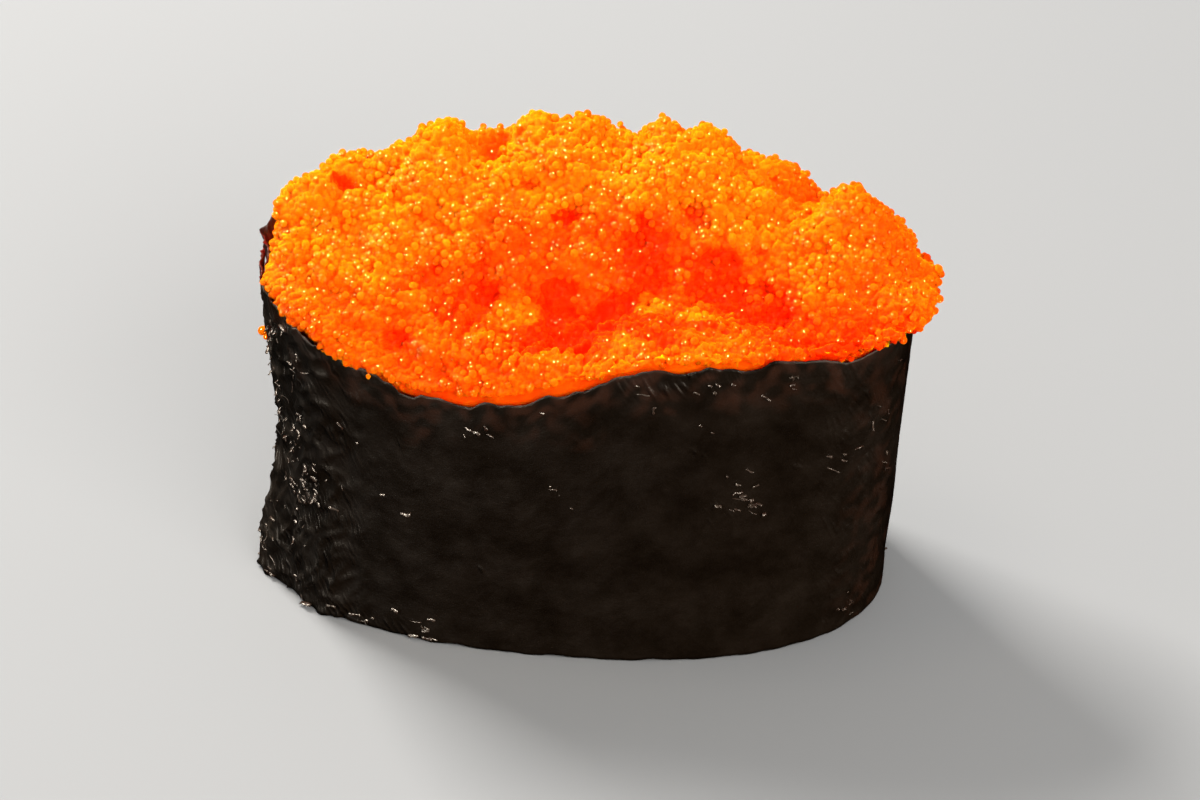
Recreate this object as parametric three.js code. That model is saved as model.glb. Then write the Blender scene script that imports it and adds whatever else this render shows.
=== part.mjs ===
// Masago gunkan sushi: a hand-pressed bed of rice, a strip of nori wrapped round it on edge, and a heap
// of capelin roe spooned on top. The long axis is X, the front is -Y and Z points up. Z = 0 is the
// surface that the piece stands on. All sizes are in millimetres.
//
// The piece is three solids. The nori is one strip whose outer end laps over its inner end. The rice fills
// the strip from below, and the roe fills the rest of it and stands above and over its rim.

import * as THREE from 'three';
import { mergeVertices } from 'three/addons/utils/BufferGeometryUtils.js';

// ---------------------------------------------------------------------------------- driving dimensions

const clearance = 0.32; // kept between one solid and the next

// Plan of the wrapped strip, a rounded oblong. The rim is pulled in at the front, back and left.
const footHalfLength = 26.0;
const footHalfDepth = 13.5;
const rimHalfDepth = 12.8;
const rimLeft = 25.0;
const rimRight = 27.3;
const planSquareness = 2.35; // exponent of the oblong, 2 would be an ellipse
const waistDepth = 1.2; // how far the left end is pinched in at half height

// The nori strip.
const stripWidth = 30.0; // the strip stands on edge, so this is the height of its rim
const sheetThickness = 0.35;
const outerEnd = 0.494; // place of the outer end round the plan: 0 is +X, 0.25 is +Y and 0.5 is -X
const lapLength = 11; // how far the outer end, which comes from the front, laps over the inner end
const lapGap = 0.06; // between the two layers of the lap
const climbLength = 3; // over which the outer layer comes down off the inner end
const endLean = 4.5; // how much further round the front the outer end's foot lies than its top
const leanReach = 16; // how far from the outer end this lean dies away
const raggedness = 0.2;

// The rim sags at the front, and a little at the right end, where the roe weighs on it.
const sagDepth = 4.5;
const sagCentre = -9;
const sagReach = 20;
const rightDroop = 1.3;
const notchDepth = 0.5; // of the tear in the rim, towards the back of the left end
const notchPlace = { x: -25, y: 3.5, reach: 1.8 };

// The lower corner of the outer end has come unstuck and curls outwards.
const curlLength = 5;
const curlOut = 1.3;

// Behind the outer end, the torn rim of the inner layer curls outwards too.
const tipPlace = 0.474; // round the plan
const tipReach = 0.02; // to each side, round the plan
const tipOut = 1.5;

// The rice.
const riceHeight = 20.5;
const riceUnevenness = 0.6;

// The roe: a crest behind the long axis, which falls to a trough and then a low lip at the front.
const crestHeight = 38.8;
const shoulderHeight = 36.3; // of the crest towards the two ends
const crestSetBack = 5.5;
const lipHeight = 30.4;
const lipSetBack = 12;
const troughDepth = 2.4;
const troughSetBack = 6.5;
const troughCentre = 3;

// The edge of the roe: how far it stands out past the inner face of the nori, and how high above the rim.
const rightOverhang = 2.9;
const backOverhang = 1.1;
const frontOverhang = 0.6;
const frontEdgeRise = 0.9;
const backEdgeRise = 2.0;
const leftEdgeRise = 4.0;
const rightEdgeRise = 1.5;
const leftLean = 0.3; // how far the edge leans in as it rises
const rightLean = 1.2;
const domeSteepness = 8; // the higher, the squarer the shoulders of the heap
const rightSteepness = 3.5;

// Swells and hollows of the roe: place in plan, height and reach.
const swells = [
  { x: -12.5, y: 6, rise: 0.7, reach: 5 },
  { x: -7.8, y: 7, rise: -2.8, reach: 4 },
  { x: -2.5, y: 6, rise: 0.5, reach: 5 },
  { x: 3.2, y: 8, rise: -1.1, reach: 4 },
  { x: 8.5, y: 6, rise: 0.8, reach: 5 },
  { x: 18.6, y: 6, rise: -3.2, reach: 4 },
  { x: 22.5, y: 3, rise: 2.5, reach: 5.5 },
  { x: -21, y: 1, rise: 1.6, reach: 7 },
  { x: -4, y: 0.2, rise: -1.3, reach: 2.6 },
  { x: -1, y: -1.4, rise: -1.5, reach: 2.8 },
  { x: 9.1, y: -0.3, rise: -1.2, reach: 2.6 },
  { x: 1.5, y: -7.5, rise: -1.2, reach: 4.5 },
  { x: 14, y: -6.5, rise: -0.9, reach: 3.2 },
];

const swellStretch = 1.5; // they run further from front to back than along

// Clumps of roe all over the heap.
const clumpSize = 4.4;
const clumpRelief = 0.55;
const edgeRelief = 0.3;

// Fineness of the faceted surfaces.
const stripSteps = 120;
const stripRows = 5;
const riceRounds = 54;
const riceTopRings = 5;
const riceSideRings = 3;
const riceFootRings = 1;
const heapRounds = 92;
const heapTopRings = 19;
const heapFootRings = 4;

// --------------------------------------------------------------------------------------- small helpers

const { clamp, lerp, smoothstep } = THREE.MathUtils;

/** A smooth hill of height 1 at 0 that reaches level ground at -1 and 1. */
function hill(offset) {
  return Math.abs(offset) < 1 ? 0.5 + 0.5 * Math.cos(Math.PI * offset) : 0;
}

/** A fixed scattered value from 0 to 1 for each corner of an endless grid. */
function scatter(i, j, k) {
  const wave = Math.sin(i * 127.1 + j * 311.7 + k * 74.7) * 43758.5453;
  return wave - Math.floor(wave);
}

/** Smooth noise from -1 to 1 with features about 1 unit across. */
function noise(x, y, z) {
  const cell = [Math.floor(x), Math.floor(y), Math.floor(z)];
  const inside = [x - cell[0], y - cell[1], z - cell[2]].map((t) => t * t * (3 - 2 * t));
  let sum = 0;
  for (let corner = 0; corner < 8; corner += 1) {
    const step = [corner & 1, (corner >> 1) & 1, (corner >> 2) & 1];
    const weight = step.reduce((product, on, axis) => product * (on ? inside[axis] : 1 - inside[axis]), 1);
    sum += weight * scatter(cell[0] + step[0], cell[1] + step[1], cell[2] + step[2]);
  }
  return sum * 2 - 1;
}

/** The oblong plan of the strip's foot, as a closed curve that can be walked by length. */
class OblongPlan extends THREE.Curve {
  constructor() {
    super();
    this.arcLengthDivisions = 720;
  }

  getPoint(turn, target = new THREE.Vector3()) {
    const angle = turn * 2 * Math.PI;
    const alongX = Math.abs(Math.cos(angle) / footHalfLength);
    const alongY = Math.abs(Math.sin(angle) / footHalfDepth);
    const reach = (alongX ** planSquareness + alongY ** planSquareness) ** (-1 / planSquareness);
    return target.set(reach * Math.cos(angle), reach * Math.sin(angle), 0);
  }
}

const oblong = new OblongPlan();

/** A point in plan of the strip's inner face. Round is its place round the plan, from 0 to 1, height is 0
 * at the foot and 1 at the rim, and out moves the point along the outward normal. */
function wallPoint(round, height, out) {
  const turn = ((round % 1) + 1) % 1;
  const point = oblong.getPointAt(turn);
  const tangent = oblong.getTangentAt(turn);
  const rimLength = point.x < 0 ? rimLeft : rimRight;
  const lengthScale = lerp(1, rimLength / footHalfLength, height);
  const depthScale = lerp(1, rimHalfDepth / footHalfDepth, height);
  const waist = waistDepth * smoothstep(-point.x, 14, 24) * hill((height - 0.5) / 0.5);
  const push = out - waist;
  return new THREE.Vector2(point.x * lengthScale + tangent.y * push, point.y * depthScale - tangent.x * push);
}

/** Height of the nori's rim at a place in plan. */
function rimHeight(x, y) {
  const front = smoothstep(-y, -3, 7);
  const sag = sagDepth * hill((x - sagCentre) / sagReach) * front;
  const droop = rightDroop * smoothstep(x, 17, 26);
  const notch = notchDepth * hill(Math.hypot(x - notchPlace.x, y - notchPlace.y) / notchPlace.reach);
  const ripple = noise(x / 5, y / 5, 3) + noise(x / 1.9, y / 1.9, 8);
  return stripWidth - sag - droop - notch + raggedness * ripple;
}

/** Moves every vertex of a closed geometry to where a function puts it. */
function reshaped(source, place) {
  source.deleteAttribute('normal');
  source.deleteAttribute('uv');
  const geometry = mergeVertices(source, 1e-5);
  const position = geometry.getAttribute('position');
  for (let i = 0; i < position.count; i += 1) {
    const placed = place(position.getX(i), position.getY(i), position.getZ(i));
    position.setXYZ(i, placed.x, placed.y, placed.z);
  }
  geometry.computeVertexNormals();
  return geometry;
}

/** A closed body of rings round the upright axis, from the middle of its top to the middle of its foot.
 * The function gets the place round the plan, from 0 to 1, and the ring, from 0 at the top. */
function ringedBody(rounds, rings, place) {
  const ball = new THREE.SphereGeometry(1, rounds, rings).rotateX(Math.PI / 2);
  return reshaped(ball, (x, y, z) => {
    const round = (Math.atan2(y, x) / (2 * Math.PI) + 1) % 1;
    const ring = Math.round((Math.acos(clamp(z, -1, 1)) / Math.PI) * rings);
    return place(round, ring);
  });
}

/** Spreads steps from 0 to 1 so that they lie closer together towards 1. */
function gatherToEdge(step) {
  return (step + Math.sin((step * Math.PI) / 2)) / 2;
}

/** A mesh with its own finish. */
function namedMesh(name, geometry, color, roughness) {
  const mesh = new THREE.Mesh(geometry, new THREE.MeshStandardMaterial({ color, roughness, metalness: 0 }));
  mesh.name = name;
  return mesh;
}

// ---------------------------------------------------------------------------------------------- pieces

/** One strip of nori, rolled once round the plan, with its outer end lapped over its inner end. */
function noriBand() {
  const perimeter = oblong.getLength();
  const stripLength = perimeter + lapLength;
  const flatStrip = new THREE.BoxGeometry(2, 2, 2, stripSteps, 1, stripRows);
  return reshaped(flatStrip, (u, v, w) => {
    const along = (0.5 + u / 2) * stripLength;
    const height = 0.5 + w / 2;
    const lapped = (1 - smoothstep(along, lapLength, lapLength + climbLength)) * (sheetThickness + lapGap);
    const atEnd = clamp(1 - along / curlLength, 0, 1);
    const curl = curlOut * atEnd ** 1.5 * smoothstep(1 - height, 0.6, 1);
    const lean = endLean * (1 - smoothstep(along, 0, leanReach)) * (1 - height);
    const round = outerEnd + (along + lean) / perimeter;
    const tip = tipOut * hill((round - 1 - tipPlace) / tipReach) * height ** 7;
    const out = lapped + curl + tip + (0.5 - v / 2) * sheetThickness;
    const place = wallPoint(round, height, out);
    const foot = raggedness * (0.5 + 0.5 * noise(place.x / 3, place.y / 3, 5));
    return new THREE.Vector3(place.x, place.y, lerp(foot, rimHeight(place.x, place.y), height));
  });
}

/** Height of the rice at a place in plan. */
function riceTop(x, y) {
  return riceHeight + riceUnevenness * noise(x / 5, y / 5, 11);
}

/** The bed of rice, flat below and uneven where the roe lies on it. */
function riceBed() {
  const rings = riceTopRings + riceSideRings + riceFootRings;
  return ringedBody(riceRounds, rings, (round, ring) => {
    const down = clamp((ring - riceTopRings) / riceSideRings, 0, 1);
    const inTop = ring / riceTopRings;
    const inFoot = (rings - ring) / riceFootRings;
    const height = (1 - down) * riceHeight;
    const edge = wallPoint(round, height / stripWidth, -clearance);
    const { x, y } = edge.multiplyScalar(Math.min(1, inTop, inFoot));
    return new THREE.Vector3(x, y, (1 - down) * riceTop(x, y));
  });
}

/** Height of the roe at a place in plan, before its clumps. */
function heapHeight(x, y) {
  const crest = lerp(crestHeight, shoulderHeight, smoothstep(Math.abs(x + 1.5), 10, 17));
  const slope = smoothstep(y, -lipSetBack, crestSetBack);
  const troughWidth = 1 - smoothstep(Math.abs(x - troughCentre), 10, 17);
  const trough = troughDepth * hill((y + troughSetBack) / 5.5) * troughWidth;
  let height = lerp(lipHeight, crest, slope) - trough;
  for (const swell of swells) {
    height += swell.rise * hill(Math.hypot(x - swell.x, (y - swell.y) / swellStretch) / swell.reach);
  }
  return height;
}

/** How far the roe stands out past the inner face of the nori. */
function overhang(x, y) {
  const right = rightOverhang * smoothstep(x, 15, 26);
  const back = backOverhang * smoothstep(y, 3, 11) * smoothstep(x, -24, -16);
  const front = frontOverhang * smoothstep(-y, 4, 10);
  return Math.max(right, back, front);
}

/** How high the roe stands at its edge above the rim of the nori. */
function edgeRise(x, y) {
  const back = backEdgeRise * smoothstep(y, -9, 5);
  const left = leftEdgeRise * smoothstep(-x, 17, 25) * smoothstep(y, -12, 2);
  const right = rightEdgeRise * smoothstep(x, 17, 26);
  return frontEdgeRise + Math.max(back * (1 - smoothstep(x, 17, 26)), left, right);
}

/** The heap of roe, from just above the rice up to the crest. */
function masagoHeap() {
  const sideRings = 5;
  const rings = heapTopRings + sideRings + heapFootRings;
  return ringedBody(heapRounds, rings, (round, ring) => {
    const level = clamp(ring - heapTopRings, 0, sideRings);
    const wall = wallPoint(round, 1, -clearance);
    const rim = rimHeight(wall.x, wall.y);
    const out = overhang(wall.x, wall.y) + edgeRelief * noise(wall.x / clumpSize, wall.y / clumpSize, 21);
    const lean = leftLean * smoothstep(-wall.x, 17, 25) + rightLean * smoothstep(wall.x, 17, 25);
    const top = rim + edgeRise(wall.x, wall.y);
    const over = rim + clearance;
    const levelHeight = [top, lerp(over, top, 0.45), over, rim - 0.8, lerp(riceHeight, rim, 0.5), riceHeight];
    const levelOut = [out - lean, 0.9 * out, 0, 0, 0, 0];
    const edge = wallPoint(round, Math.min(1, levelHeight[level] / rim), levelOut[level] - clearance);
    if (ring <= heapTopRings) {
      const share = gatherToEdge(ring / heapTopRings);
      const { x, y } = edge.multiplyScalar(share);
      const dome = 1 - share ** lerp(domeSteepness, rightSteepness, smoothstep(x, 14, 26));
      const z = lerp(top, Math.max(top, heapHeight(x, y)), dome);
      return new THREE.Vector3(x, y, z + clumpRelief * noise(x / clumpSize, y / clumpSize, z / clumpSize));
    }
    if (level < sideRings) {
      return new THREE.Vector3(edge.x, edge.y, levelHeight[level]);
    }
    const { x, y } = edge.multiplyScalar((rings - ring) / heapFootRings);
    return new THREE.Vector3(x, y, riceTop(x, y) + clearance);
  });
}

// -------------------------------------------------------------------------------------------- assembly

const gunkan = new THREE.Group();
gunkan.add(namedMesh('nori_band', noriBand(), 0x1c1712, 0.42));
gunkan.add(namedMesh('rice_bed', riceBed(), 0xeee9dc, 0.55));
gunkan.add(namedMesh('masago_heap', masagoHeap(), 0xf77c0a, 0.3));

// The origin is the middle of the whole piece in plan, on the surface that it stands on.
const extent = new THREE.Box3().setFromObject(gunkan);
const middle = extent.getCenter(new THREE.Vector3());
gunkan.position.set(-middle.x, -middle.y, -extent.min.z);
gunkan.updateMatrixWorld(true);

export default gunkan;
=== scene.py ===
"""Masago gunkan sushi: a bed of rice wrapped in a strip of nori and heaped with capelin roe.

The frame holds the sushi's plain solids. This script makes what is seen of them. The roe is a core with the
relief of packed eggs, and thousands of separate eggs on it. The nori is a thin, crinkled sheet whose outer
end laps over its inner end. The rice shows underneath as separate grains. Lengths are in metres, except
where a comment says that they are in millimetres.
"""

import itertools
import math

import bmesh
import bpy
import numpy as np
from bpy.props import FloatProperty, FloatVectorProperty, IntProperty, PointerProperty
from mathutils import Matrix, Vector, kdtree, noise
from mathutils.bvhtree import BVHTree


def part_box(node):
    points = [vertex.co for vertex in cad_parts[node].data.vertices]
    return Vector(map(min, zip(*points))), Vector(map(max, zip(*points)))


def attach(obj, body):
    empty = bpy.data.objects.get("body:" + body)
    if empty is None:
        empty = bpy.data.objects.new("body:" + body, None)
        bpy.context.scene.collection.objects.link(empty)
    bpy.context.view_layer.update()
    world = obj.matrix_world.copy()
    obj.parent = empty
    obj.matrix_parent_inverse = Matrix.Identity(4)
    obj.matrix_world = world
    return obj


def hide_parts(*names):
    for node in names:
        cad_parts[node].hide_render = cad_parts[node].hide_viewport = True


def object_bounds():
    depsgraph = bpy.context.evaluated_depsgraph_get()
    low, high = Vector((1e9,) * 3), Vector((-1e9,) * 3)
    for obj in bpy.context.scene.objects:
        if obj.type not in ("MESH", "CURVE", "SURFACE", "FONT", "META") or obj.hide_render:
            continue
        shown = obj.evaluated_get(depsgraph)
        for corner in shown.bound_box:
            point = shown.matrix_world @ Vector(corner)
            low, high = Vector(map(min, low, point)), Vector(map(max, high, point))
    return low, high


bl_info = {
    "name": "Masago Gunkan Sushi",
    "version": (1, 0, 0),
    "blender": (4, 5, 0),
    "location": "View3D > Sidebar > Sushi",
    "description": "Makes the nori, the rice and the roe of a gunkan sushi around its plain solids",
    "category": "Object",
}

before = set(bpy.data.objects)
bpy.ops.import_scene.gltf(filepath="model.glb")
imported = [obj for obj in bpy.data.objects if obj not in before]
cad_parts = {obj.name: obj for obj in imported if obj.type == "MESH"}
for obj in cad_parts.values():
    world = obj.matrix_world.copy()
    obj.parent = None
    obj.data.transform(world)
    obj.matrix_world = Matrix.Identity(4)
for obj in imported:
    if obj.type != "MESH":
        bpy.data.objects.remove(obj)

MM = 0.001
TURN = 2 * math.pi
CAD_LOW, CAD_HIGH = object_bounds()
NORI_LOW, NORI_HIGH = (np.array(corner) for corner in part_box("nori_band"))
PLAN_MIDDLE = (NORI_LOW + NORI_HIGH) / 2
PLAN_HALF = (NORI_HIGH - NORI_LOW) / 2


def linear(hex_colour):
    """The linear red, green, blue and alpha of an sRGB hex colour."""
    parts = [int(hex_colour[start:start + 2], 16) / 255 for start in (0, 2, 4)]
    curved = [part / 12.92 if part <= 0.04045 else ((part + 0.055) / 1.055) ** 2.4 for part in parts]
    return (*curved, 1.0)


# ------------ sizes and colours ------------


def length(name, description, millimetres):
    """A length that the user can change, given in millimetres."""
    return FloatProperty(
        name=name, description=description, default=millimetres * MM, unit="LENGTH", precision=5
    )


def angle(name, description, degrees):
    """An angle that the user can change, given in degrees."""
    return FloatProperty(
        name=name, description=description, default=math.radians(degrees), subtype="ANGLE"
    )


def colour(name, description, hex_colour):
    """A colour that the user can change."""
    return FloatVectorProperty(
        name=name, description=description, default=linear(hex_colour), size=4, min=0, max=1, subtype="COLOR"
    )


class MasagoSettings(bpy.types.PropertyGroup):
    """The roe."""

    egg_diameter: length("Egg diameter", "Mean diameter of a capelin egg", 0.62)
    bed_depth: length("Bed depth", "How far the packed eggs' centres lie below the heap's outline", 0.75)
    clump_size: length("Clump size", "Distance from one clump of eggs to the next", 4.6)
    clump_height: length("Clump height", "How far a clump stands out of the crevices round it", 1.7)
    core_step: length("Core step", "Size of the core's faces, which carry the relief of the eggs", 0.2)
    random_seed: IntProperty(name="Random seed", description="Other numbers scatter the eggs anew", default=7)
    # Along the gold value: golden is painted light on the crest, red is painted shade in the hollows.
    golden: colour("Golden", "Eggs on the crest, where light comes through them", "ff7204")
    orange: colour("Orange", "Eggs between the crest and the hollows", "ff5202")
    red: colour("Red", "Eggs down in the hollows", "ff2900")
    skin_glint: colour("Glint", "Highlights on the oily skins", "ffd678")


class NoriSettings(bpy.types.PropertyGroup):
    """The strip of seaweed."""

    thickness: length("Sheet thickness", "Thickness of the sheet", 0.3)
    lap_length: length("Lap length", "How far the outer end laps over the inner end", 11)
    grid_step: length("Grid step", "Size of the sheet's faces", 0.31)
    crinkle_depth: length("Crinkle depth", "Depth of the creases at the left end", 0.32)
    sheet: colour("Sheet", "Toasted seaweed", "1a1007")
    # Besides the wetted stain, this colour paints sheen at the right end of the sheet.
    stain_and_sheen: colour("Stain", "Seaweed that the roe has wetted", "2e180d")
    flake: colour("Flake", "Thin flakes that stand up from the sheet", "44372c")
    # The tip's red is painted light coming through the thin torn edge, tinted by the roe.
    tip: colour("Tip", "Thin torn edge, which lets light through", "6a0d05")


class RiceSettings(bpy.types.PropertyGroup):
    """The rice."""

    grain_length: length("Grain length", "Length of a cooked grain", 6.2)
    grain_width: length("Grain width", "Width of a cooked grain", 2.9)
    cooked: colour("Cooked rice", "Cooked white rice", "efe9db")


class StageSettings(bpy.types.PropertyGroup):
    """Floor, lights and camera."""

    floor: colour("Floor", "Plain pale paper", "888785")
    air: colour("Air", "Soft light from all round", "e8ebef")
    warm: colour("Warm light", "The lights that give highlights", "fff0dc")
    azimuth: angle("Azimuth", "Camera's way round from the front", 5.5)
    elevation: angle("Elevation", "Camera's height over the floor", 38)
    field: angle("Field of view", "Across the picture", 21.2)
    distance: length("Distance", "From the camera to the sushi", 265)


class SushiSettings(bpy.types.PropertyGroup):
    """All the settings, one group for each part of the sushi and one for the stage."""

    masago: PointerProperty(type=MasagoSettings)
    nori: PointerProperty(type=NoriSettings)
    rice: PointerProperty(type=RiceSettings)
    stage: PointerProperty(type=StageSettings)


# ------------ small helpers ------------


def rise(value, low, high):
    """0 up to low, 1 from high, and a smooth rise between them."""
    share = np.clip((value - low) / (high - low), 0, 1)
    return share * share * (3 - 2 * share)


def hill(offset):
    """A smooth hill of height 1 at 0 that reaches level ground at -1 and 1."""
    return np.where(np.abs(offset) < 1, 0.5 + 0.5 * np.cos(math.pi * offset), 0)


def dome(offset):
    """A round dome of height 1 at 0, with steep sides at -1 and 1."""
    return np.sqrt(np.clip(1 - offset**2, 0, 1))


SEED_STEP = 7.31  # how far apart the noise of one seed lies from the noise of the next


def ripple(places, size, seed):
    """Smooth noise from about -1 to 1, with features about one size across. Each seed gives another."""
    spots = places / size + seed * SEED_STEP
    return np.array([noise.noise(spot) for spot in spots.tolist()])


def mounds(places, size, seed):
    """Packed mounds about one size apart: 1 at the middle of each, 0 in the crevices between them."""
    spots = places / size + seed * SEED_STEP
    nearest = np.array([noise.voronoi(spot)[0][:2] for spot in spots.tolist()])
    return np.sqrt(np.clip(nearest[:, 1] - nearest[:, 0], 0, 0.8) / 0.8)


def unit(rows):
    """Each row scaled to length 1."""
    return rows / np.maximum(np.linalg.norm(rows, axis=-1, keepdims=True), 1e-12)


def around(turn):
    """The level way from the middle at each angle round the plan, as if the oblong were a circle."""
    return unit(np.stack([PLAN_HALF[0] * np.cos(turn), PLAN_HALF[1] * np.sin(turn), 0 * turn], axis=-1))


def mesh_values(mesh, name):
    """The places or the normals of a mesh's vertices, a row for each."""
    values = np.empty(len(mesh.vertices) * 3)
    mesh.vertices.foreach_get(name, values)
    return values.reshape(-1, 3)


def place_vertices(mesh, places):
    """Moves a mesh's vertices to the places given."""
    mesh.vertices.foreach_set("co", places.ravel())
    mesh.update()


def new_mesh(name, places, faces):
    """A mesh of corners and faces with soft shading."""
    mesh = bpy.data.meshes.new(name)
    mesh.from_pydata(places.tolist(), [], faces)
    mesh.shade_smooth()
    mesh.update()
    return mesh


def joined_mesh(name, shapes, faces):
    """One mesh of many like shapes. Each has its own corners, and all have the same faces."""
    size = len(shapes[0])
    moved = [[corner + size * index for corner in face] for index in range(len(shapes)) for face in faces]
    return new_mesh(name, np.concatenate(shapes), moved)


def unit_ball(make, **sizes):
    """The corners and faces of a ball of radius 1, made by one of bmesh's own operators."""
    ball = bmesh.new()
    make(ball, radius=1, **sizes)
    corners = np.array([vertex.co for vertex in ball.verts])
    faces = [[vertex.index for vertex in face.verts] for face in ball.faces]
    ball.free()
    return corners, faces


def thin_faces(columns, rows):
    """Faces of a thin closed sheet whose two skins are grids of corners: the skins' and the border's."""
    corner = np.arange(columns * rows).reshape(columns, rows)
    quads = np.stack([corner[:-1, :-1], corner[1:, :-1], corner[1:, 1:], corner[:-1, 1:]], axis=-1)
    quads = quads.reshape(-1, 4)
    border = np.concatenate([corner[:-1, 0], corner[-1, :-1], corner[:0:-1, -1], corner[0, :0:-1]])
    after = np.roll(border, -1)
    far = corner.size
    skins = np.concatenate([quads[:, ::-1], quads + far])
    return skins, np.stack([border, after, after + far, border + far], axis=-1)


def paint(mesh, name, values):
    """Stores a value or a row of three for each vertex, for the material to read."""
    kind, field = ("FLOAT", "value") if values.ndim == 1 else ("FLOAT_VECTOR", "vector")
    layer = mesh.attributes.new(name, kind, "POINT")
    layer.data.foreach_set(field, values.astype(np.float32).ravel())


def mesh_tree(mesh):
    """A mesh's faces in a tree, to cast rays at and to find the nearest point of."""
    return BVHTree.FromPolygons([v.co for v in mesh.vertices], [face.vertices for face in mesh.polygons])


def point_tree(rows):
    """The places that rows start with, in a tree to find the nearest of."""
    tree = kdtree.KDTree(len(rows))
    for index, row in enumerate(rows.tolist()):
        tree.insert(row[:3], index)
    tree.balance()
    return tree


def cad_mesh(node):
    """A copy of a CAD solid, with its split corners joined up again."""
    solid = bmesh.new()
    solid.from_mesh(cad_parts[node].data)
    bmesh.ops.remove_doubles(solid, verts=solid.verts, dist=0.001 * MM)
    mesh = bpy.data.meshes.new(node + "_copy")
    solid.to_mesh(mesh)
    solid.free()
    return mesh


def remeshed(mesh, step, smoothings=0):
    """A mesh made anew from even faces about one step across, and smoothed."""
    body = bpy.data.objects.new("remeshing", mesh)
    bpy.context.scene.collection.objects.link(body)
    remesh = body.modifiers.new("Even faces", "REMESH")
    remesh.mode = "VOXEL"
    remesh.voxel_size = step
    remesh.use_smooth_shade = True
    smooth = body.modifiers.new("Smooth", "SMOOTH")
    smooth.iterations = smoothings
    depsgraph = bpy.context.evaluated_depsgraph_get()
    result = bpy.data.meshes.new_from_object(body.evaluated_get(depsgraph))
    bpy.data.objects.remove(body)
    return result


def finished(name, mesh, material, node):
    """Makes the finished piece: a named object with its material, standing for a solid of the frame."""
    mesh.materials.clear()
    mesh.materials.append(material)
    piece = bpy.data.objects.new(name, mesh)
    bpy.context.scene.collection.objects.link(piece)
    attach(piece, "root")
    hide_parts(node)


RIM_SHARE = 0.815  # of the band's height: its rim lies above this all round, and its next row below


def angle_round(places):
    """Each place's angle round the plan, as if the oblong were a circle."""
    across = (places[..., :2] - PLAN_MIDDLE[:2]) / PLAN_HALF[:2]
    return np.arctan2(across[..., 1], across[..., 0])


def rim_profile():
    """Angle round the plan and height of the rim of the nori, in order of angle."""
    places = mesh_values(cad_mesh("nori_band"), "co")
    rim = places[places[:, 2] > RIM_SHARE * NORI_HIGH[2]]
    angles = angle_round(rim)
    order = np.argsort(angles)
    return angles[order], rim[order, 2]


RIM_ANGLES, RIM_HEIGHTS = rim_profile()


def rim_height(places):
    """Height of the nori's rim beside each place."""
    return np.interp(angle_round(places), RIM_ANGLES, RIM_HEIGHTS, period=TURN)


# ------------ materials ------------


def add_node(tree, kind, values=None, links=None, stops=None):
    """Adds a node, sets its values and sockets, links other nodes' outputs in, and sets a ramp's stops."""
    node = tree.nodes.new(kind)
    for name, value in (values or {}).items():
        if isinstance(name, int) or name in node.inputs:
            node.inputs[name].default_value = value
        else:
            setattr(node, name, value)
    for name, output in (links or {}).items():
        tree.links.new(output, node.inputs[name])
    for index, (position, shade) in enumerate(stops or []):
        element = node.color_ramp.elements[index] if index < 2 else node.color_ramp.elements.new(position)
        element.position = position
        element.color = shade
    return node


def new_material(name):
    """A material and its empty node tree."""
    material = bpy.data.materials.new(name)
    material.use_nodes = True
    material.node_tree.nodes.clear()
    return material, material.node_tree


def darker(shade, share):
    """A shade with this share of its light."""
    return tuple(part * share for part in shade[:3]) + (1.0,)


def clouded(tree, vector, scale, detail, dull, clear):
    """A colour that drifts between two shades, as clouds do. Each shade comes with its place on the ramp."""
    clouds = add_node(tree, "ShaderNodeTexNoise", {"Scale": scale, "Detail": detail}, vector)
    ramp = add_node(tree, "ShaderNodeValToRGB", links={"Fac": clouds.outputs["Fac"]}, stops=[dull, clear])
    return ramp.outputs["Color"]


PACKED_GLOSS = (0.5, 0.06)  # roughness and specular level of the core and of the duller eggs
WET_GLOSS = (0.12, 0.9)  # and of the eggs whose wet skin shows a highlight


def roe_material(name, settings, roughness, specular):
    """Capelin roe, salted and dyed: wet, clear skins full of coloured oil.

    Light goes deep into the eggs and comes out redder the further it has gone. The base colour paints that
    light
    and shade by the gold value: golden on the crest and red in the hollows. The wettest skins each carry one
    small sharp highlight.
    """
    material, tree = new_material(name)
    gold_and_shade = add_node(tree, "ShaderNodeAttribute", {"attribute_name": "gold_and_shade"})
    # Painted light and shade: the ramp gives lit crests gold and shaded hollows red.
    shade = add_node(
        tree, "ShaderNodeValToRGB", links={"Fac": gold_and_shade.outputs["Fac"]},
        stops=[(0.08, settings.red), (0.92, settings.golden), (0.5, settings.orange)],
    )
    surface = add_node(
        tree, "ShaderNodeBsdfPrincipled",
        {
            "Roughness": roughness,
            "IOR": 1.37,
            "Specular IOR Level": specular,
            "Specular Tint": settings.skin_glint,
            "Subsurface Weight": 0.9,
            "Subsurface Radius": (1.0, 0.8, 0.2),
            "Subsurface Scale": 0.9 * MM,
        },
        {"Base Color": shade.outputs["Color"]},
    )
    add_node(tree, "ShaderNodeOutputMaterial", links={"Surface": surface.outputs["BSDF"]})
    return material


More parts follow.
